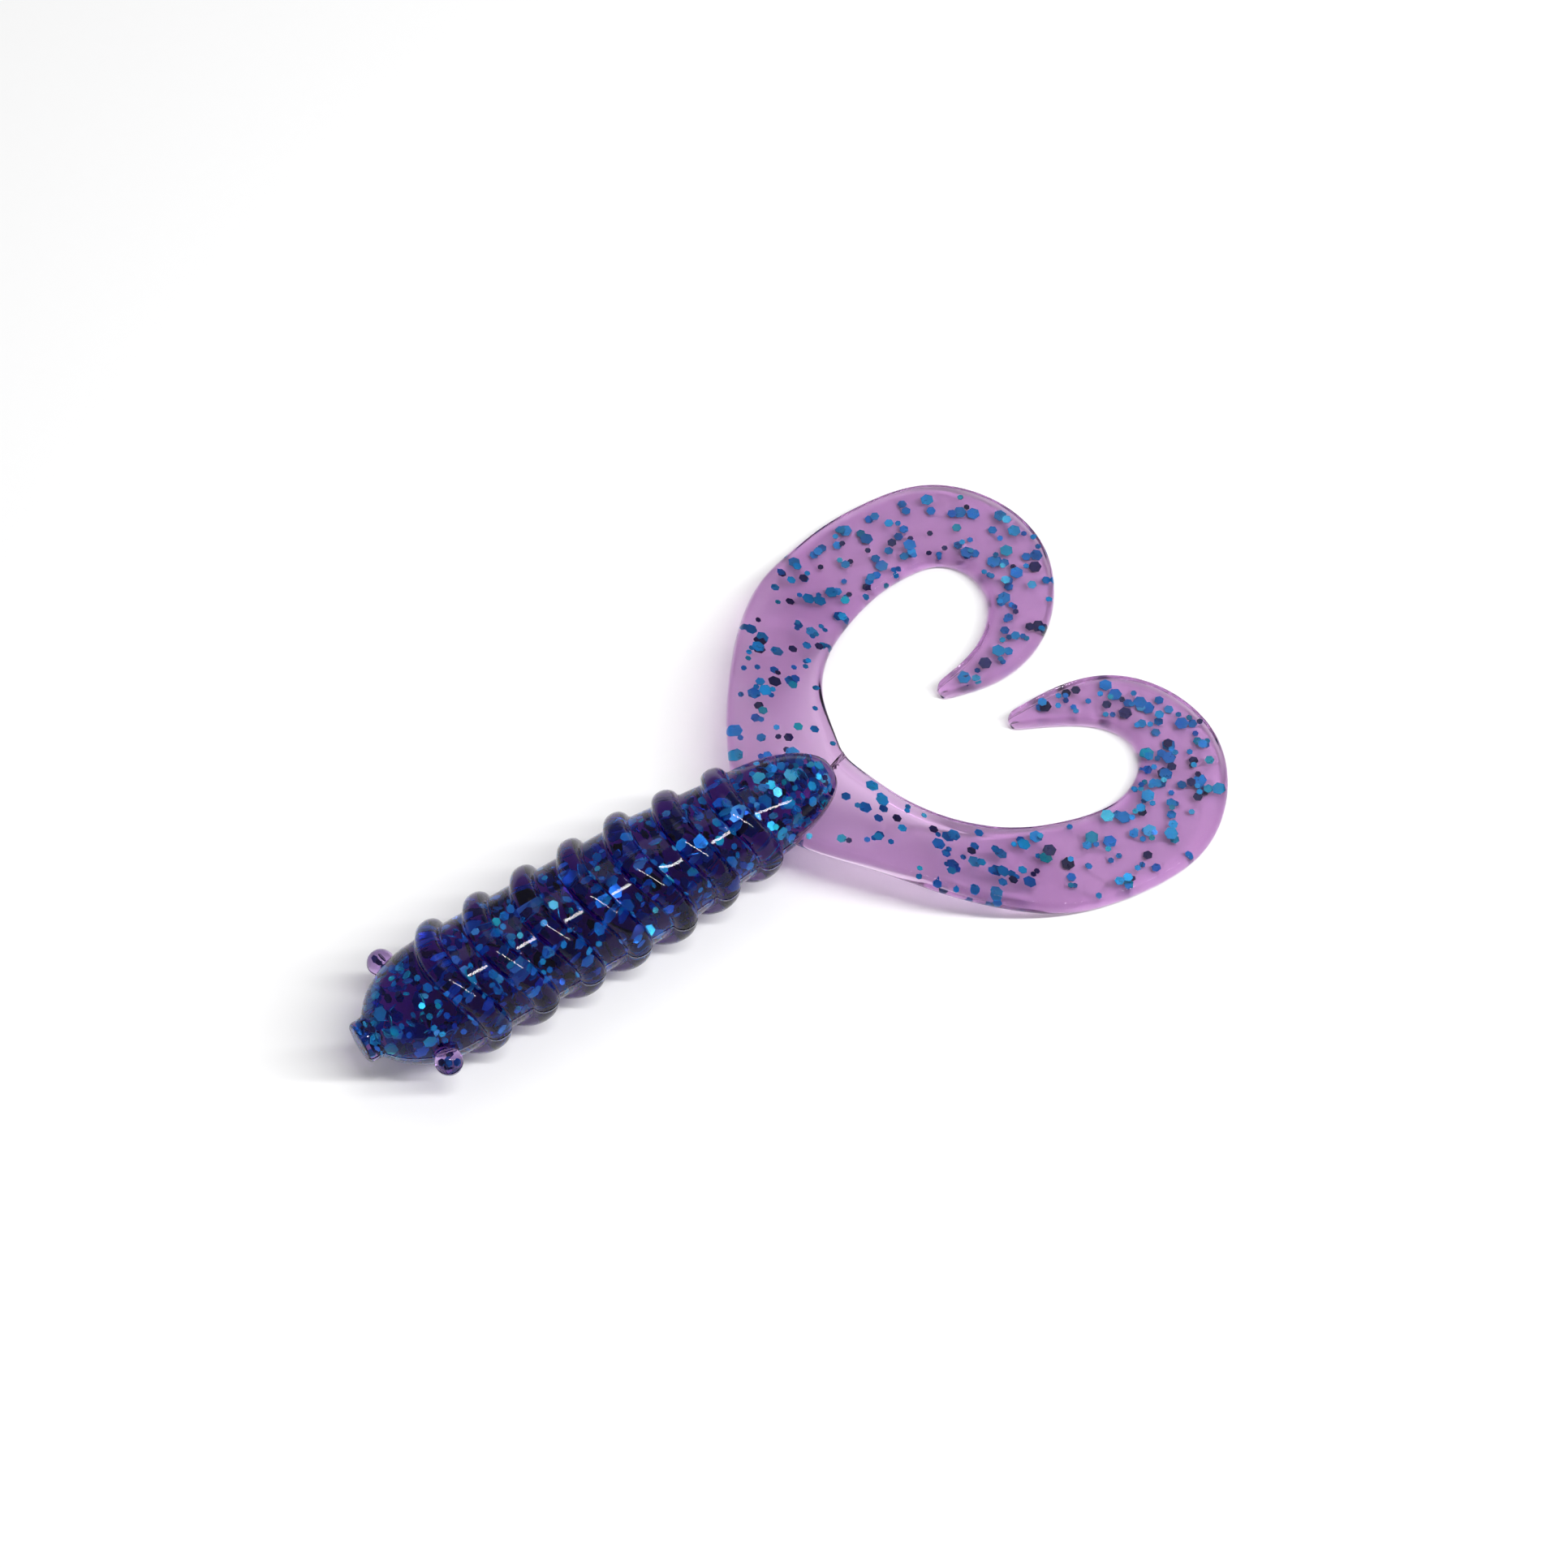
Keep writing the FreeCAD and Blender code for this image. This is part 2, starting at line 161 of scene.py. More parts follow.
# %% [markdown]
# ## Table and light
#
# A pale table fills the view. The light is an even, dim room, one long thin tube and one
# soft window behind the object. The tube gives most of the light on the table, and draws
# the thin white lines along the wet-looking trunk. The room is kept dim because a bright
# one would lie on the dark plastic as a grey veil.

# %% Table
deselect()
bpy.ops.mesh.primitive_grid_add(x_subdivisions=8, y_subdivisions=8, size=3.0,
                                location=(middle.x, middle.y, low.z))
table = named("table")
bpy.ops.object.transform_apply(location=True, rotation=True, scale=True)
paper = bpy.data.materials.new("pale_paper")
paper.use_nodes = True
nodes, links = paper.node_tree.nodes, paper.node_tree.links
shader = nodes["Principled BSDF"]
shader.inputs["Roughness"].default_value = 0.9
shader.inputs["Specular IOR Level"].default_value = 0.1
where = nodes.new("ShaderNodeTexCoord")
grain = nodes.new("ShaderNodeTexNoise")
grain.inputs["Scale"].default_value = 900
tone = nodes.new("ShaderNodeMix")
tone.data_type = "RGBA"
tone.inputs["A"].default_value = (0.955, 0.955, 0.955, 1)
tone.inputs["B"].default_value = (0.965, 0.965, 0.968, 1)
links.new(where.outputs["Object"], grain.inputs["Vector"])
links.new(grain.outputs["Fac"], tone.inputs["Factor"])
links.new(tone.outputs["Result"], shader.inputs["Base Color"])
table.data.materials.append(paper)
print("table at mm", round(low.z / MM, 2))

# %% Room light and lamps
room = bpy.data.worlds.new("room")
bpy.context.scene.world = room
room.use_nodes = True
room.node_tree.nodes["Background"].inputs["Color"].default_value = (1.0, 1.0, 1.0, 1)
room.node_tree.nodes["Background"].inputs["Strength"].default_value = 0.38


def add_lamp(name, towards, distance, size_x, size_y, brightness, roll_to):
    """A flat lamp that faces the object; brightness is that of its face, 1 being white paper."""
    lamp = bpy.data.lights.new(name, "AREA")
    lamp.shape = "RECTANGLE"
    lamp.size = size_x
    lamp.size_y = size_y
    lamp.energy = brightness * math.pi * size_x * size_y
    holder = bpy.data.objects.new(name, lamp)
    bpy.context.collection.objects.link(holder)
    z = Vector(towards).normalized()
    x = (Vector(roll_to) - z * Vector(roll_to).dot(z)).normalized()
    y = z.cross(x)
    holder.matrix_world = Matrix.Translation(aim + z * distance) @ Matrix((x, y, z)).transposed().to_4x4()
    return holder


level_across = Vector((math.cos(VIEW_AZIMUTH), math.sin(VIEW_AZIMUTH), 0))
add_lamp("tube_lamp", (0.278, -0.4155, 0.866), distance=0.30, size_x=0.30, size_y=0.022,
         brightness=44.0, roll_to=level_across)
add_lamp("window_lamp", (0.30, 0.35, 0.88), distance=0.45, size_x=0.24, size_y=0.24,
         brightness=1.2, roll_to=level_across)

# %% [markdown]
# ## Trunk skin
#
# On the real lure the nose, the body, the seven ribs and the rounded tongue are one
# moulding. It could be made from a cylinder and seven rings, but clear plastic would
# show the rings' hidden halves. So one half outline is drawn, from the nose to the
# tongue's tip, and spun once round. The ribs come with the outline, as bumps in it.
# The ribs aren't flat hoops: top and bottom they lean towards the nose, so the rows of
# points are shifted after the spin.

# %% Trunk sizes
NOSE_TIP_X, HEAD_END_X = 0.65 * MM, 6.3 * MM
CORE_R = 3.95 * MM
NUB_R = 1.4 * MM
TAPER_START_X, TONGUE_START_X, TONGUE_END_X = 21.8 * MM, 28.68 * MM, 35.75 * MM
TONGUE_START_R = 3.27 * MM
FIRST_RIB_X, RIB_PITCH, RIB_COUNT = 7.8, 3.48, 7
RIB_X = [(FIRST_RIB_X + RIB_PITCH * i) * MM for i in range(RIB_COUNT)]
RIB_FOOT, RIB_SWEEP = 1.06, 1.7 * MM
LEAN_STARTS, LEAN_ENDS = (3.0 * MM, 6.5 * MM), (30.0 * MM, 35.7 * MM)


def core_radius(x):
    """The trunk's radius at x, without its ribs."""
    if x < HEAD_END_X:
        share = (HEAD_END_X - x) / (HEAD_END_X - NOSE_TIP_X)
        return CORE_R * math.sqrt(max(0.0, 1 - share * share))
    if x <= TAPER_START_X:
        return CORE_R
    if x <= TONGUE_START_X:
        share = (x - TAPER_START_X) / (TONGUE_START_X - TAPER_START_X)
        return CORE_R + (TONGUE_START_R - CORE_R) * share
    share = (x - TONGUE_START_X) / (TONGUE_END_X - TONGUE_START_X)
    return TONGUE_START_R * math.sqrt(max(0.0, 1 - share * share))

# %% Trunk outline
def nub_outline():
    """The small round nub on the nose, from its centre out, round its rim and back to the head."""
    rim = 0.25 * MM
    points = [(0.0, 0.0), (0.0, 0.45 * MM), (0.0, 0.85 * MM), (0.02 * MM, NUB_R - rim)]
    for turn in (30, 60, 90):
        a = math.radians(turn)
        points.append((rim * (1 - math.cos(a)) + 0.01 * MM, NUB_R - rim + rim * math.sin(a)))
    points += [(0.60 * MM, NUB_R), (0.85 * MM, NUB_R + 0.01 * MM), (0.98 * MM, NUB_R + 0.06 * MM),
               (1.08 * MM, NUB_R + 0.16 * MM)]
    return points


def rib_outline(x):
    """One rib's bump on the body: a round bead with a small hollow where it meets the body."""
    half = [(RIB_FOOT, 0.0), (1.02, 0.0), (0.95, 0.02), (0.88, 0.09), (0.85, 0.19), (0.80, 0.32),
            (0.70, 0.46), (0.52, 0.60), (0.27, 0.695), (0.0, 0.72)]
    sides = [(-dx, h) for dx, h in half] + [(dx, h) for dx, h in reversed(half[:-1])]
    return [(x + dx * MM, core_radius(x + dx * MM) + h * MM) for dx, h in sides]


outline = nub_outline()
for turn in range(28, 87, 6):
    a = math.radians(turn)
    outline.append((HEAD_END_X - (HEAD_END_X - NOSE_TIP_X) * math.cos(a), CORE_R * math.sin(a)))
for rib, x in enumerate(RIB_X):
    outline += rib_outline(x)
    if rib < len(RIB_X) - 1:
        for share in (0.25, 0.5, 0.75):
            gap_x = x + RIB_FOOT * MM + share * (RIB_PITCH - 2 * RIB_FOOT) * MM
            outline.append((gap_x, core_radius(gap_x)))
for turn in range(12, 91, 6):
    a = math.radians(turn)
    x = TONGUE_START_X + (TONGUE_END_X - TONGUE_START_X) * math.sin(a)
    if x > outline[-1][0] + 0.2 * MM:
        outline.append((x, core_radius(x)))
outline[-1] = (TONGUE_END_X, 0.0)
print("outline points", len(outline))

# %% Spin the outline into the skin
SPIN_STEPS = 88
deselect()
bpy.ops.mesh.primitive_plane_add(size=0.1 * MM, location=(0, 0, 0))
trunk = named("trunk_skin")
bpy.ops.object.mode_set(mode="EDIT")
bpy.ops.mesh.select_all(action="SELECT")
bpy.ops.mesh.merge(type="CENTER")
place = Vector((0, 0, 0))
for x, radius in outline[1:]:
    step = Vector((x, 0, radius)) - place
    bpy.ops.mesh.extrude_region_move(TRANSFORM_OT_translate={"value": step})
    place = place + step
bpy.ops.mesh.select_all(action="SELECT")
bpy.ops.mesh.spin(steps=SPIN_STEPS, angle=2 * math.pi, center=(0, 0, 0), axis=(1, 0, 0))
bpy.ops.object.mode_set(mode="OBJECT")
tidy_shell(trunk)
print("trunk faces", len(trunk.data.polygons), "open edges", open_edges(trunk))

# %% Lean the ribs towards the nose
def smooth_step(value, start, end):
    share = min(1.0, max(0.0, (value - start) / (end - start)))
    return share * share * (3 - 2 * share)


for vertex in trunk.data.vertices:
    x, y, z = vertex.co
    radius = math.hypot(y, z)
    if radius < 0.001 * MM:
        continue
    lean = smooth_step(x, *LEAN_STARTS) * (1 - smooth_step(x, *LEAN_ENDS))
    height = core_radius(x) * z / radius
    new_x = x - RIB_SWEEP * lean * (height / CORE_R) ** 2
    new_radius = radius - core_radius(x) + core_radius(new_x)
    vertex.co = (new_x, y * new_radius / radius, z * new_radius / radius)
trunk.data.update()

# %% [markdown]
# ## Eyes
#
# Two small beads stand out of the head, one each side, on the mould's parting plane.
# Each starts as a ball. The faces that look at the head are pushed in, so that the bead
# has a short neck, and the neck ends just inside the head.

# %% Eyes
EYE_R, EYE_NECK = 0.9 * MM, 0.35 * MM
NECK_FROM = 0.80


def make_eye(name, side):
    eye_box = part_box(name)
    outer = max(abs(corner[1]) for corner in eye_box)
    centre = Vector(((eye_box[0][0] + eye_box[1][0]) / 2, side * (outer - EYE_R), 0))
    deselect()
    bpy.ops.mesh.primitive_uv_sphere_add(segments=36, ring_count=22, radius=EYE_R, location=centre,
                                         rotation=(math.pi / 2, 0, 0))
    eye = named(name + "_bead")
    bpy.ops.object.transform_apply(location=True, rotation=True, scale=True)
    bpy.ops.object.mode_set(mode="EDIT")
    bpy.ops.mesh.select_all(action="DESELECT")
    bpy.ops.object.mode_set(mode="OBJECT")
    for polygon in eye.data.polygons:
        polygon.select = (polygon.center.y - centre.y) * side < -NECK_FROM * EYE_R
    bpy.ops.object.mode_set(mode="EDIT")
    bpy.ops.mesh.extrude_region_move(TRANSFORM_OT_translate={"value": (0, -side * EYE_NECK, 0)})
    bpy.ops.object.mode_set(mode="OBJECT")
    tidy_shell(eye)
    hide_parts(name)
    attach(eye, "front")
    print(name, "centre mm", [round(v / MM, 2) for v in centre], "open edges", open_edges(eye))
    return eye


far_eye = make_eye("far_eye", 1)
near_eye = make_eye("near_eye", -1)

# %% [markdown]
# ## Tails
#
# Each tail is a flat blade that curls back to the trunk, so the two together draw a
# heart. A blade could be cut from a sheet, but it is simpler to draw it as a ribbon: one
# edge across the root is extruded from station to station along the tail's middle
# line, turned and narrowed as it goes. Then it gets a thin raised rim, as a moulded
# blade has, and its thickness, and it is laid over the droop that takes it down to the
# table.

# %% Tail lines
FAR_TAIL_LINE = [(32.5, -0.2), (33.9, 3.0), (36.0, 7.15), (39.1, 10.8), (42.9, 13.6), (47.35, 14.95),
                 (50.5, 15.0), (53.55, 14.3), (55.7, 12.1), (56.4, 9.05), (55.4, 6.1), (53.2, 3.9),
                 (50.25, 2.85), (47.1, 2.85)]
NEAR_TAIL_LINE = [(32.2, 1.9), (33.7, -1.25), (35.9, -5.2), (38.9, -8.75), (42.7, -11.4), (46.9, -13.2),
                  (49.9, -13.8), (52.9, -13.6), (55.5, -12.05), (57.1, -9.5), (57.0, -6.5), (55.3, -4.0),
                  (52.6, -2.6), (49.65, -1.8)]
TAIL_HALF_WIDTH = [3.7, 3.7, 3.15, 3.05, 3.3, 3.3, 3.25, 3.3, 3.1, 2.8, 2.35, 1.97, 1.37, 0.6]
TAIL_T = 1.2 * MM
STEPS_BETWEEN = 5
TIP_STEPS = [(0.30, 0.52), (0.56, 0.38), (0.74, 0.20)]


def smooth_curve(points):
    """A smooth curve through the points: call it with a place from 0 to len(points) - 1."""
    points = np.array(points, float)
    gaps = np.linalg.norm(np.diff(points, axis=0), axis=1)
    n = len(points)
    system = np.eye(n)
    right_side = np.zeros_like(points)
    for i in range(1, n - 1):
        system[i, i - 1:i + 2] = gaps[i - 1], 2 * (gaps[i - 1] + gaps[i]), gaps[i]
        right_side[i] = 6 * ((points[i + 1] - points[i]) / gaps[i]
                             - (points[i] - points[i - 1]) / gaps[i - 1])
    bend = np.linalg.solve(system, right_side)

    def at(place):
        i = min(int(place), n - 2)
        gap = gaps[i]
        b = (place - i) * gap
        a = gap - b
        return ((bend[i] * a ** 3 + bend[i + 1] * b ** 3) / (6 * gap)
                + (points[i] / gap - bend[i] * gap / 6) * a
                + (points[i + 1] / gap - bend[i + 1] * gap / 6) * b)
    return at


def tail_sides(line):
    """The two smooth side curves of a tail, in mm."""
    middle_line = smooth_curve(line)
    left, right = [], []
    for i, half_width in enumerate(TAIL_HALF_WIDTH):
        nearby = middle_line(min(i + 0.01, len(line) - 1)) - middle_line(max(i - 0.01, 0))
        along = nearby / np.linalg.norm(nearby)
        across = np.array((-along[1], along[0])) * half_width
        left.append(middle_line(i) + across)
        right.append(middle_line(i) - across)
    return smooth_curve(left), smooth_curve(right)

# %% Droop of the tails
DROOP_START_X, DROOP_END_X, DROOP_ANGLE = 33.0 * MM, 46.0 * MM, math.radians(24.0)
DROOP = 4.07 * MM
RUN = DROOP_END_X - DROOP_START_X
SLOPE_LENGTH = (DROOP - math.tan(DROOP_ANGLE / 2) * RUN) / (
    math.sin(DROOP_ANGLE) - math.tan(DROOP_ANGLE / 2) * math.cos(DROOP_ANGLE))
DROOP_R = (RUN - SLOPE_LENGTH * math.cos(DROOP_ANGLE)) / (2 * math.sin(DROOP_ANGLE))
SLOPE_START_X = DROOP_START_X + DROOP_R * math.sin(DROOP_ANGLE)
SLOPE_END_X = DROOP_END_X - DROOP_R * math.sin(DROOP_ANGLE)


def droop(x):
    """Height of the blade's middle at x, and how steeply it falls there."""
    if x <= DROOP_START_X:
        return 0.0, 0.0
    if x >= DROOP_END_X:
        return -DROOP, 0.0
    if x < SLOPE_START_X:
        angle = math.asin((x - DROOP_START_X) / DROOP_R)
        return -DROOP_R * (1 - math.cos(angle)), angle
    if x > SLOPE_END_X:
        angle = math.asin((DROOP_END_X - x) / DROOP_R)
        return -DROOP + DROOP_R * (1 - math.cos(angle)), angle
    fall = DROOP_R * (1 - math.cos(DROOP_ANGLE)) + (x - SLOPE_START_X) * math.tan(DROOP_ANGLE)
    return -fall, DROOP_ANGLE


def laid_down(point):
    """Where a point of the flat blade goes when the blade lies over the droop."""
    x, y, z = point
    height, angle = droop(x)
    return Vector((x + z * math.sin(angle), y, height + z * math.cos(angle)))

# %% Draw one tail as a ribbon
COLUMNS = [-0.5, -0.468, -0.425, -0.392, -0.2, 0.0, 0.2, 0.392, 0.425, 0.468, 0.5]
EDGE_DROP, RIM_PROUD = 0.34, 0.09
COLUMN_RISE = [-EDGE_DROP, RIM_PROUD, RIM_PROUD, 0, 0, 0, 0, 0, RIM_PROUD, RIM_PROUD, -EDGE_DROP]

# Where the blades meet, the corner is rounded by a circle that touches both inner sides.
CROTCH_R = 2.5                  # in millimetres, like the tail lines
NEAR_ROOT = (0.5, 3.5, 0.01)    # stations tried for the touching points: from, to and step


def pushed_out(side, turn):
    """A tail's inner side near its root, moved towards the opening by the crotch's radius."""
    moved = []
    for s in np.arange(*NEAR_ROOT):
        along = side(s + 0.01) - side(s - 0.01)
        moved.append(side(s) + turn * CROTCH_R * np.array((-along[1], along[0])) / np.linalg.norm(along))
    return np.array(moved)


far_moved = pushed_out(tail_sides(FAR_TAIL_LINE)[1], -1)
near_moved = pushed_out(tail_sides(NEAR_TAIL_LINE)[0], 1)
apart = np.linalg.norm(far_moved[:, None] - near_moved[None], axis=2)
far_touch, near_touch = np.unravel_index(apart.argmin(), apart.shape)
crotch_centre = Vector((*far_moved[far_touch], 0)) * MM
touch_station = {"far": NEAR_ROOT[0] + NEAR_ROOT[2] * far_touch,
                 "near": NEAR_ROOT[0] + NEAR_ROOT[2] * near_touch}
print("crotch circle mm", (crotch_centre / MM).to_2d(), "apart", round(apart.min(), 3), touch_station)


def onto_crotch(outer, inner):
    """Carry a cross line on from its inner end to the crotch's circle, if it meets the circle."""
    way = (inner - outer).normalized()
    reach = (crotch_centre - outer).dot(way)
    miss = (crotch_centre - outer - way * reach).length
    if miss >= CROTCH_R * MM:
        return inner
    return outer + way * (reach - math.sqrt((CROTCH_R * MM) ** 2 - miss ** 2))


def station_ends(line):
    """The two ends of every cross line of a tail, in metres, with a rounded crotch and a rounded tip."""
    left, right = tail_sides(line)
    far = line is FAR_TAIL_LINE
    stations = [i / STEPS_BETWEEN for i in range((len(line) - 1) * STEPS_BETWEEN + 1)]
    ends = []
    for s in stations:
        a, b = Vector((*left(s), 0)) * MM, Vector((*right(s), 0)) * MM
        if far and s < touch_station["far"]:
            b = onto_crotch(a, b)
        if not far and s < touch_station["near"]:
            a = onto_crotch(b, a)
        ends.append((a, b))
    a, b = ends[-1]
    across = (a - b).normalized()
    onwards = across.cross(Vector((0, 0, 1)))
    if onwards.dot((a + b) - (ends[-2][0] + ends[-2][1])) < 0:
        onwards = -onwards
    for step, half_width in TIP_STEPS:
        centre = (a + b) / 2 + onwards * step * MM
        ends.append((centre + across * half_width * MM, centre - across * half_width * MM))
    return ends


def tail_ribbon(name, line):
    """A flat strip of faces, ten across, from the root to the tip, that remembers where its rim is."""
    ends = station_ends(line)
    deselect()
    bpy.ops.mesh.primitive_plane_add(size=1 * MM, location=(0, 0, 0))
    ribbon = named(name)
    a, b = ends[0]
    bpy.ops.object.mode_set(mode="EDIT")
    bpy.ops.mesh.select_all(action="DESELECT")
    bpy.ops.object.mode_set(mode="OBJECT")
    for vertex in ribbon.data.vertices:
        vertex.select = vertex.co.y > 0
    bpy.ops.object.mode_set(mode="EDIT")
    bpy.ops.mesh.delete(type="VERT")
    bpy.ops.mesh.select_all(action="SELECT")
    bpy.ops.transform.translate(value=(0, 0.5 * MM, 0))
    bpy.ops.transform.resize(value=((a - b).length / MM, 1, 1), center_override=(0, 0, 0))
    bpy.ops.mesh.subdivide(number_cuts=len(COLUMNS) - 2)
    bpy.ops.object.mode_set(mode="OBJECT")
    rise = ribbon.data.attributes.new("rise", "FLOAT", "POINT")
    in_order = sorted(ribbon.data.vertices, key=lambda v: v.co.x)
    for vertex, column, height in zip(in_order, COLUMNS, COLUMN_RISE):
        vertex.co.x = column * (a - b).length
        rise.data[vertex.index].value = height * MM
    bpy.ops.object.mode_set(mode="EDIT")
    bpy.ops.mesh.select_all(action="SELECT")
    heading = (a - b).to_2d()
    turn_to(math.atan2(heading.y, heading.x), (0, 0, 0))
    bpy.ops.transform.translate(value=(a + b) / 2)
    for (a0, b0), (a1, b1) in zip(ends[:-1], ends[1:]):
        centre = (a1 + b1) / 2
        bpy.ops.mesh.extrude_region_move(TRANSFORM_OT_translate={"value": centre - (a0 + b0) / 2})
        old, new = (a0 - b0).to_2d(), (a1 - b1).to_2d()
        turn = math.atan2(old.x * new.y - old.y * new.x, old.dot(new))
        turn_to(turn, centre)
        width = new.length / old.length
        bpy.ops.transform.resize(value=(width, width, 1), center_override=centre)
    bpy.ops.object.mode_set(mode="OBJECT")
    for vertex in ribbon.data.vertices:
        if vertex.select:
            ribbon.data.attributes["rise"].data[vertex.index].value = -EDGE_DROP * MM
    return ribbon


def turn_to(angle, centre):
    """Turn what is selected about a vertical axis; with no window the sign is the other way."""
    bpy.ops.transform.rotate(value=-angle, orient_axis="Z", center_override=centre)


far_tail = tail_ribbon("far_tail_skin", FAR_TAIL_LINE)
near_tail = tail_ribbon("near_tail_skin", NEAR_TAIL_LINE)
for tail in (far_tail, near_tail):
    corners = np.array([v.co for v in tail.data.vertices]) / MM
    print(tail.name, "ribbon mm", corners.min(0).round(2), corners.max(0).round(2))

# %% Rim and thickness
def thicken(tail):
    """Give the ribbon the blade's thickness, raise its rim and round its edge."""
    apply_modifier(tail, "SOLIDIFY", thickness=TAIL_T - 2 * RIM_PROUD * MM, offset=0)
    rise = tail.data.attributes["rise"].data
    for vertex in tail.data.vertices:
        side = 1 if vertex.co.z > 0 else -1
        vertex.co.z += side * rise[vertex.index].value
    apply_modifier(tail, "SUBSURF", levels=2, render_levels=2)


for tail in (far_tail, near_tail):
    thicken(tail)
    for vertex in tail.data.vertices:
        vertex.co = laid_down(vertex.co)
    tail.data.materials.clear()
    tidy_shell(tail)
    print(tail.name, "faces", len(tail.data.polygons), "open edges", open_edges(tail))

# %% [markdown]
# ## Where the tails leave the trunk
#
# The two blades meet behind the tongue's tip, and the tongue lies between their roots.
# Overlapping clear pieces would look darker, so each blade is cut at the line between
# them, and then the tongue's own shape is cut out of its root. The cut shape is a hair
# smaller than the tongue, because a gap would shine like a mirror and a hair of overlap
# can't be seen.

# %% Cut the roots
OVERLAP = 0.02 * MM
ROOT_END_X, ROOT_HALF_WIDTH = 39.5 * MM, 8 * MM
crotch_a, crotch_b = Vector((35.0, -0.1, 0)) * MM, Vector((36.9, 0.7, 0)) * MM
between = (crotch_b - crotch_a).normalized()
square_to_it = Vector((-between.y, between.x, 0))


def cut_between(tail, side):
    """Keep the part of a blade's root on its own side of the line between the blades."""
    only(tail)
    bpy.ops.object.mode_set(mode="EDIT")
    bpy.ops.mesh.select_all(action="DESELECT")
    bpy.ops.object.mode_set(mode="OBJECT")
    for polygon in tail.data.polygons:
        polygon.select = polygon.center.x < ROOT_END_X and abs(polygon.center.y) < ROOT_HALF_WIDTH
    bpy.ops.object.mode_set(mode="EDIT")
    bpy.ops.mesh.bisect(plane_co=crotch_a - square_to_it * side * OVERLAP, plane_no=square_to_it * side,
                        use_fill=True, clear_inner=True)
    bpy.ops.object.mode_set(mode="OBJECT")


deselect()
cutter = trunk.copy()
cutter.data = trunk.data.copy()
bpy.context.collection.objects.link(cutter)
only(cutter)
bpy.ops.object.mode_set(mode="EDIT")
bpy.ops.mesh.select_all(action="SELECT")
bpy.ops.transform.shrink_fatten(value=-OVERLAP)
bpy.ops.object.mode_set(mode="OBJECT")
for tail, side in ((far_tail, 1), (near_tail, -1)):
    cut_between(tail, side)
    apply_modifier(tail, "BOOLEAN", operation="DIFFERENCE", object=cutter, solver="EXACT")
    tidy_shell(tail)
    only(tail)
    bpy.ops.object.shade_smooth_by_angle(angle=math.radians(50))
    print(tail.name, "cut faces", len(tail.data.polygons), "open edges", open_edges(tail))
bpy.data.objects.remove(cutter)

# %% [markdown]
# ## Glitter
#
# The glitter is foil cut into hexagons. Three sizes are modelled, and the middle one is
# a guess. One hexagon is made and copied about 1,940 times. In the tails the flakes lie
# flat, because the plastic was squeezed thin there, and in the trunk they lie all ways
# round, a little more often level with the skin. Each flake carries its own painted
# shade: foil looks almost black from one side and shines from another, so some flakes
# are painted dark as painted shade and some painted pale as painted glints.

# %% One flake
FLAKE_T = 0.05 * MM
FLAKE_SIZE = {"coarse": 0.82 * MM, "middle": 0.58 * MM, "fine": 0.38 * MM}
deselect()
bpy.ops.mesh.primitive_cylinder_add(vertices=6, radius=1 / math.sqrt(3), depth=1, location=(0, 0, 0))
one_flake = named("one_flake")
bpy.ops.object.mode_set(mode="EDIT")
bpy.ops.mesh.select_all(action="SELECT")
bpy.ops.mesh.normals_make_consistent(inside=False)
bpy.ops.object.mode_set(mode="OBJECT")
one_flake.data.attributes.new("flake_tint", "FLOAT_COLOR", "POINT")

# The darkest tint is painted shade, a flake seen turned away from the light, and the palest is a painted
# glint, a flake catching the lamp; the other three are the foil's own tones.
TINTS = {
    "blue": (0.001, 0.36, 0.76),
    "deep": (0.002, 0.20, 0.60),
    "navy": (0.008, 0.016, 0.110),
    "teal": (0.001, 0.44, 0.58),
    "bright": (0.060, 0.66, 1.0),
}


def pick_tint(chance, shares, greener=1.0, brighter=1.0):
    """Choose a tint by its share of the flakes, with a little spread round it.
    Thick purple plastic eats green first, so flakes that lie deep start out greener."""
    names = list(shares)
    name = chance.choices(names, [shares[n] for n in names])[0]
    spread = chance.uniform(0.75, 1.25)
    red, green, blue = (c * brighter for c in TINTS[name])
    return [min(1.0, c * spread) for c in (red, green * greener, blue)] + [1.0]


def join_flakes(name, places, size, tints):
    """Copies of the flake at the given places, joined into one piece."""
    copies = []
    for (place, facing, spin), tint in zip(places, tints):
        mesh = one_flake.data.copy()
        turn = Vector(facing).to_track_quat("Z", "Y").to_matrix().to_4x4()
        mesh.transform(Matrix.Translation(place) @ turn @ Matrix.Rotation(spin, 4, "Z")
                       @ Matrix.Diagonal((size, size, FLAKE_T, 1)))
        mesh.attributes["flake_tint"].data.foreach_set("color", tint * len(mesh.vertices))
        copy = bpy.data.objects.new(name, mesh)
        bpy.context.collection.objects.link(copy)
        copies.append(copy)
    deselect()
    for copy in copies:
        copy.select_set(True)
    bpy.context.view_layer.objects.active = copies[0]
    bpy.ops.object.join()
    return named(name)

# %% Scatter in the trunk
TRUNK_FLAKES_X = (0.6 * MM, 34.6 * MM)
NUB_END_X = 1.2 * MM
TRUNK_MARGIN, TAIL_MARGIN = 0.15 * MM, 0.16 * MM


def trunk_places(chance, count, size, low_x, high_x):
    """Places inside the trunk, more of them near the skin."""
    places = []
    while len(places) < count:
        x = chance.uniform(low_x, high_x)
        room = max(core_radius(x), NUB_R if x < NUB_END_X else 0) - TRUNK_MARGIN - size * 0.5
        if room < 0.3 * MM:
            continue
        radius = room * chance.uniform(0.0, 1.0) ** 0.28
        around = chance.uniform(0, 2 * math.pi)
        out = Vector((0, math.cos(around), math.sin(around)))
        wander = Vector([chance.gauss(0, 0.55) for _ in range(3)])
        facing = (out + wander).normalized()
        places.append((Vector((x, 0, 0)) + out * radius, facing, chance.uniform(0, math.pi)))
    return places


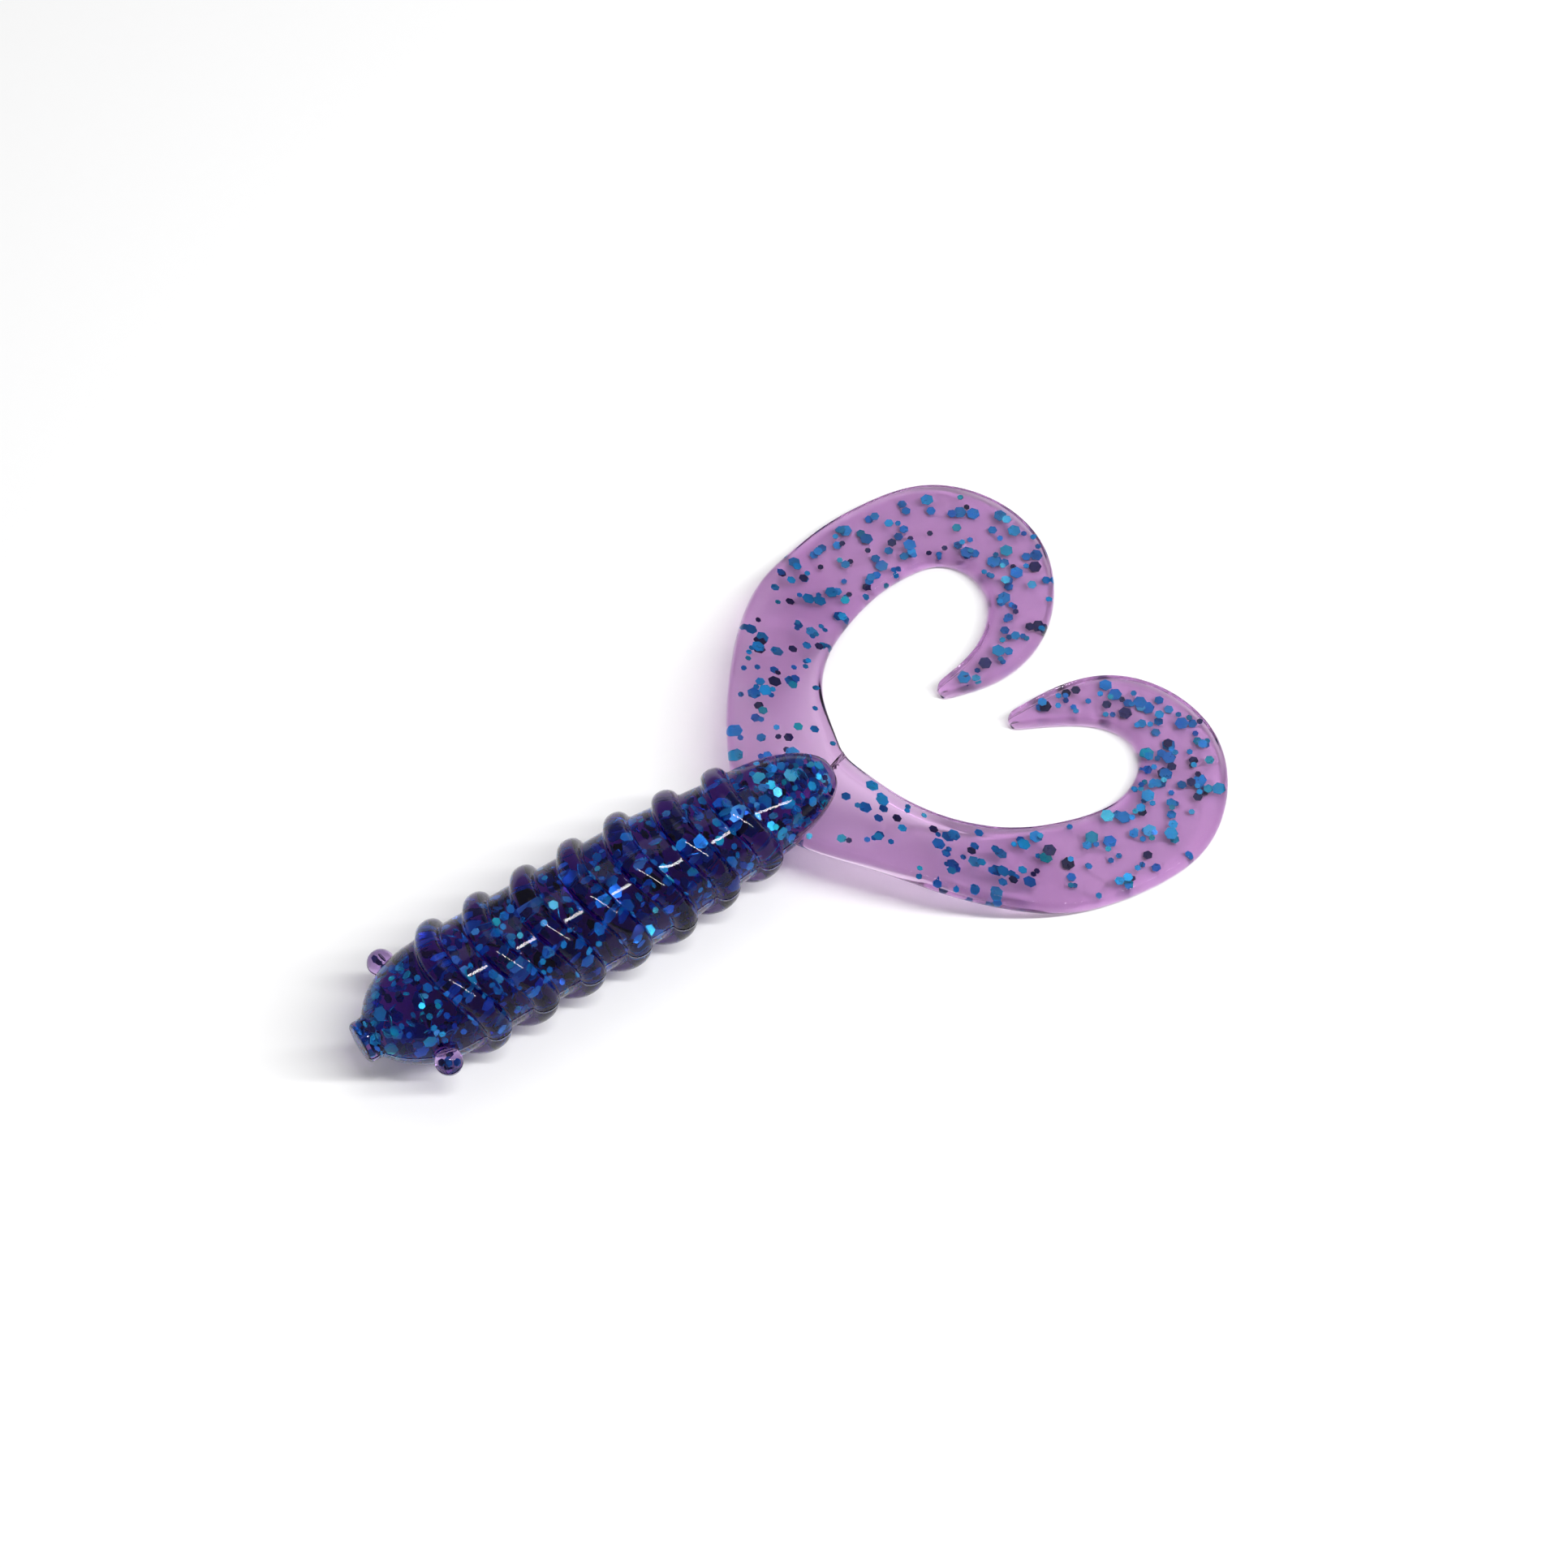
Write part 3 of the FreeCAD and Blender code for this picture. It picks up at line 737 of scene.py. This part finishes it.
def eye_places(chance, eye, count):
    """A few fine flakes in the middle of an eye bead."""
    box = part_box(eye)
    centre = (Vector(box[0]) + Vector(box[1])) / 2
    return [(centre + Vector([chance.uniform(-0.34, 0.34) * MM for _ in range(3)]),
             Vector([chance.gauss(0, 1) for _ in range(3)]).normalized(), 0.0) for _ in range(count)]


TRUNK_SHARES = {"blue": 40, "deep": 30, "navy": 16, "teal": 10, "bright": 4}
# Flakes that face LIT_SIDE, the way that sends the tube lamp's light up to the camera, take LIT_SHARES
# with many more of the palest tint: painted glints along the trunk's lit top line.
LIT_SHARES = {"blue": 34, "deep": 10, "navy": 8, "teal": 8, "bright": 40}
TRUNK_COUNTS = {"coarse": 230, "middle": 520, "fine": 760}
LIT_SIDE, LIT_ABOVE = Vector((0, -0.433, 0.902)), 0.9
# The trunk's flakes are the same foil as the tails', painted 1.5 times brighter: painted light, standing
# in for the light that the thick plastic keeps from them. The greener tint makes up for the plastic
# eating green.
GREENER, TRUNK_FLAKE_PAINTED_LIGHT = 1.4, 1.5
chance = random.Random(11)
trunk_flakes = {}
for kind, count in TRUNK_COUNTS.items():
    size = FLAKE_SIZE[kind]
    places = trunk_places(chance, count, size, *TRUNK_FLAKES_X)
    tints = [pick_tint(chance, LIT_SHARES if facing.dot(LIT_SIDE) > LIT_ABOVE else TRUNK_SHARES,
                       GREENER, TRUNK_FLAKE_PAINTED_LIGHT) for _, facing, _ in places]
    # The fine group also carries dark flakes in the eye beads, four in the far one and nine in the near
    # one: painted shade that darkens the beads.
    if kind == "fine":
        eye_shade_flakes = eye_places(chance, "far_eye", 4) + eye_places(chance, "near_eye", 9)
        places += eye_shade_flakes
        tints += [pick_tint(chance, {"navy": 80, "deep": 20}) for _ in eye_shade_flakes]
    trunk_flakes[kind] = join_flakes("trunk_glitter_" + kind, places, size, tints)
    print(trunk_flakes[kind].name, "flakes", len(places))

# %% Scatter in the tails
TAIL_SHARES = {"blue": 58, "deep": 10, "navy": 18, "teal": 8, "bright": 6}
TAIL_COUNTS = {"coarse": 40, "middle": 76, "fine": 92}


def tail_places(chance, line, count, size, side):
    """Places in one blade, lying flat, from its root to near its tip."""
    left, right = tail_sides(line)
    places = []
    while len(places) < count:
        station = chance.uniform(0.6, len(line) - 1.25)
        a, b = Vector((*left(station), 0)) * MM, Vector((*right(station), 0)) * MM
        width = (a - b).length
        room = 0.5 - (TAIL_MARGIN + size * 0.5) / width
        if room < 0.02 or chance.uniform(0, 2 * TAIL_HALF_WIDTH[0] * MM) > width:
            continue
        flat = (a + b) / 2 + (a - b) * chance.uniform(-room, room)
        inside_tongue = flat.x < TONGUE_END_X and abs(flat.y) < core_radius(flat.x) + 0.45 * size
        own_side = flat.x > ROOT_END_X or (flat - crotch_a).dot(square_to_it) * side > 0.4 * size
        if inside_tongue or not own_side:
            continue
        depth = chance.uniform(-0.30, 0.36) * TAIL_T
        _, angle = droop(flat.x)
        tilt = Vector((math.sin(angle), 0, math.cos(angle)))
        facing = (tilt + Vector([chance.gauss(0, 0.07) for _ in range(3)])).normalized()
        places.append((laid_down((flat.x, flat.y, depth)), facing, chance.uniform(0, math.pi)))
    return places


tail_flakes = {}
for tail_name, line, side in (("far", FAR_TAIL_LINE, 1), ("near", NEAR_TAIL_LINE, -1)):
    for kind, count in TAIL_COUNTS.items():
        size = FLAKE_SIZE[kind]
        places = tail_places(chance, line, count, size, side)
        tints = [pick_tint(chance, TAIL_SHARES) for _ in places]
        piece = join_flakes(tail_name + "_glitter_" + kind, places, size, tints)
        tail_flakes[tail_name, kind] = piece
        print(piece.name, "flakes", count)
bpy.data.objects.remove(one_flake)

# %% [markdown]
# ## Finishes
#
# The plastic is clear, wet-looking and coloured all through, so its colour belongs to
# its inside and not to its skin: thin tails look pink and the thick trunk looks almost
# black. It is made as glass with a Volume Absorption inside. The real lure is all one
# plastic, but here the trunk and the tails have a tint each, tuned separately, and the
# trunk's is a little bluer. The skin has the faint waves and dull spots of a soft
# moulding, and the trunk has the fine line where the two halves of the mould met.

# %% Shared effects
def new_group(name, inputs, outputs):
    group = bpy.data.node_groups.new(name, "ShaderNodeTree")
    for socket, kind, value in inputs:
        made = group.interface.new_socket(name=socket, in_out="INPUT", socket_type=kind)
        if value is not None:
            made.default_value = value
    for socket, kind in outputs:
        group.interface.new_socket(name=socket, in_out="OUTPUT", socket_type=kind)
    return group, group.nodes.new("NodeGroupInput"), group.nodes.new("NodeGroupOutput")


def math_node(tree, operation, a, b=None, c=None, clamp=False):
    node = tree.nodes.new("ShaderNodeMath")
    node.operation = operation
    node.use_clamp = clamp
    for socket, value in zip(node.inputs, (a, b, c)):
        if value is None:
            continue
        if isinstance(value, bpy.types.NodeSocket):
            tree.links.new(value, socket)
        else:
            socket.default_value = value
    return node.outputs[0]


soft_skin, g_in, g_out = new_group(
    "soft_skin", [("Vector", "NodeSocketVector", None), ("Waves", "NodeSocketFloat", 0.6),
                  ("Dullest", "NodeSocketFloat", 0.16), ("Glossiest", "NodeSocketFloat", 0.02)],
    [("Height", "NodeSocketFloat"), ("Roughness", "NodeSocketFloat")])
broad = soft_skin.nodes.new("ShaderNodeTexNoise")
broad.inputs["Scale"].default_value = 420
broad.inputs["Detail"].default_value = 1
fine = soft_skin.nodes.new("ShaderNodeTexNoise")
fine.inputs["Scale"].default_value = 2600
fine.inputs["Detail"].default_value = 2
spots = soft_skin.nodes.new("ShaderNodeTexNoise")
spots.inputs["Scale"].default_value = 900
for noise in (broad, fine, spots):
    soft_skin.links.new(g_in.outputs["Vector"], noise.inputs["Vector"])
waves = math_node(soft_skin, "MULTIPLY", broad.outputs["Fac"], g_in.outputs["Waves"])
grain = math_node(soft_skin, "MULTIPLY", fine.outputs["Fac"], 0.004)
soft_skin.links.new(math_node(soft_skin, "ADD", waves, grain), g_out.inputs["Height"])
dull = soft_skin.nodes.new("ShaderNodeMapRange")
dull.inputs["From Min"].default_value = 0.35
dull.inputs["From Max"].default_value = 0.75
soft_skin.links.new(spots.outputs["Fac"], dull.inputs["Value"])
soft_skin.links.new(g_in.outputs["Glossiest"], dull.inputs["To Min"])
soft_skin.links.new(g_in.outputs["Dullest"], dull.inputs["To Max"])
soft_skin.links.new(dull.outputs["Result"], g_out.inputs["Roughness"])

mould_line, m_in, m_out = new_group(
    "mould_line", [("Vector", "NodeSocketVector", None), ("Half Width", "NodeSocketFloat", 0.00014)],
    [("Height", "NodeSocketFloat")])
split = mould_line.nodes.new("ShaderNodeSeparateXYZ")
mould_line.links.new(m_in.outputs["Vector"], split.inputs[0])
above = math_node(mould_line, "ABSOLUTE", split.outputs["Z"])
share = math_node(mould_line, "DIVIDE", above, m_in.outputs["Half Width"])
mould_line.links.new(math_node(mould_line, "SUBTRACT", 1.0, share, clamp=True), m_out.inputs["Height"])

# %% Purple plastic
TRUNK_LOSS, TAIL_LOSS = (350.0, 600.0, 185.0), (310.0, 590.0, 275.0)
PURPLE_DENSITY = 640.0


def make_plastic(name, waves, dullest, loss_per_m, with_mould_line):
    """Clear purple plastisol: glass with an absorbing inside."""
    material = bpy.data.materials.new(name)
    material.use_nodes = True
    tree = material.node_tree
    shader = tree.nodes["Principled BSDF"]
    shader.inputs["Base Color"].default_value = (1.0, 0.97, 1.0, 1)
    shader.inputs["Transmission Weight"].default_value = 1.0
    shader.inputs["Metallic"].default_value = 0.0
    shader.inputs["IOR"].default_value = 1.27
    shader.inputs["Specular IOR Level"].default_value = 0.8
    where = tree.nodes.new("ShaderNodeTexCoord")
    skin = tree.nodes.new("ShaderNodeGroup")
    skin.node_tree = soft_skin
    skin.inputs["Waves"].default_value = waves
    skin.inputs["Dullest"].default_value = dullest
    tree.links.new(where.outputs["Object"], skin.inputs["Vector"])
    tree.links.new(skin.outputs["Roughness"], shader.inputs["Roughness"])
    height = skin.outputs["Height"]
    if with_mould_line:
        line = tree.nodes.new("ShaderNodeGroup")
        line.node_tree = mould_line
        tree.links.new(where.outputs["Object"], line.inputs["Vector"])
        height = math_node(tree, "ADD", height, math_node(tree, "MULTIPLY", line.outputs["Height"], 1.8))
    bump = tree.nodes.new("ShaderNodeBump")
    bump.inputs["Distance"].default_value = 0.05 * MM
    bump.inputs["Strength"].default_value = 1.0
    tree.links.new(height, bump.inputs["Height"])
    tree.links.new(bump.outputs["Normal"], shader.inputs["Normal"])
    inside = tree.nodes.new("ShaderNodeVolumeAbsorption")
    inside.inputs["Color"].default_value = [1 - loss / PURPLE_DENSITY for loss in loss_per_m] + [1]
    inside.inputs["Density"].default_value = PURPLE_DENSITY
    tree.links.new(inside.outputs["Volume"], tree.nodes["Material Output"].inputs["Volume"])
    return material


trunk_plastic = make_plastic("trunk_plastic", 0.12, 0.06, TRUNK_LOSS, True)
tail_plastic = make_plastic("tail_plastic", 0.15, 0.10, TAIL_LOSS, False)

# %% Blue foil
foil = bpy.data.materials.new("blue_foil")
foil.use_nodes = True
tree = foil.node_tree
shader = tree.nodes["Principled BSDF"]
shader.inputs["Metallic"].default_value = 0.5
tint = tree.nodes.new("ShaderNodeAttribute")
tint.attribute_name = "flake_tint"
where = tree.nodes.new("ShaderNodeTexCoord")
wrinkle = tree.nodes.new("ShaderNodeTexNoise")
wrinkle.inputs["Scale"].default_value = 1600
tree.links.new(where.outputs["Object"], wrinkle.inputs["Vector"])
worn = tree.nodes.new("ShaderNodeMix")
worn.data_type = "RGBA"
worn.blend_type = "MULTIPLY"
worn.inputs["Factor"].default_value = 0.35
tree.links.new(tint.outputs["Color"], worn.inputs["A"])
tree.links.new(wrinkle.outputs["Color"], worn.inputs["B"])
tree.links.new(worn.outputs["Result"], shader.inputs["Base Color"])
rough = math_node(tree, "MULTIPLY_ADD", wrinkle.outputs["Fac"], 0.25, 0.18)
tree.links.new(rough, shader.inputs["Roughness"])

# %% Give the finishes and hide the imported parts
trunk.data.materials.append(trunk_plastic)
for eye in (far_eye, near_eye):
    eye.data.materials.append(trunk_plastic)
for tail in (far_tail, near_tail):
    tail.data.materials.append(tail_plastic)
for piece in (*trunk_flakes.values(), *tail_flakes.values()):
    piece.data.materials.clear()
    piece.data.materials.append(foil)

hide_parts("nose_nub", "head", "trunk_front", "trunk_rear", "tail_tongue",
            *[f"rib_{i}" for i in range(1, 8)])
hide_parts("far_tail", "tail_web")
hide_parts("near_tail", "tail_web")
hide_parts("glitter_front_coarse", "glitter_rear_coarse")
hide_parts("glitter_front_fine", "glitter_rear_fine")
for name in ("far", "near"):
    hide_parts(f"glitter_{name}_coarse")
    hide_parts(f"glitter_{name}_fine")

# %% [markdown]
# ## Places baked in
#
# Soft plastic bends over a length and not at a line. Here each skin, and the glitter in
# it, only has its place baked into its points.

# %% Bake the places in
for piece in (trunk, *trunk_flakes.values()):
    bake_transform(piece)
for name, tail in (("far", far_tail), ("near", near_tail)):
    for piece in (tail, *[tail_flakes[name, kind] for kind in FLAKE_SIZE]):
        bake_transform(piece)
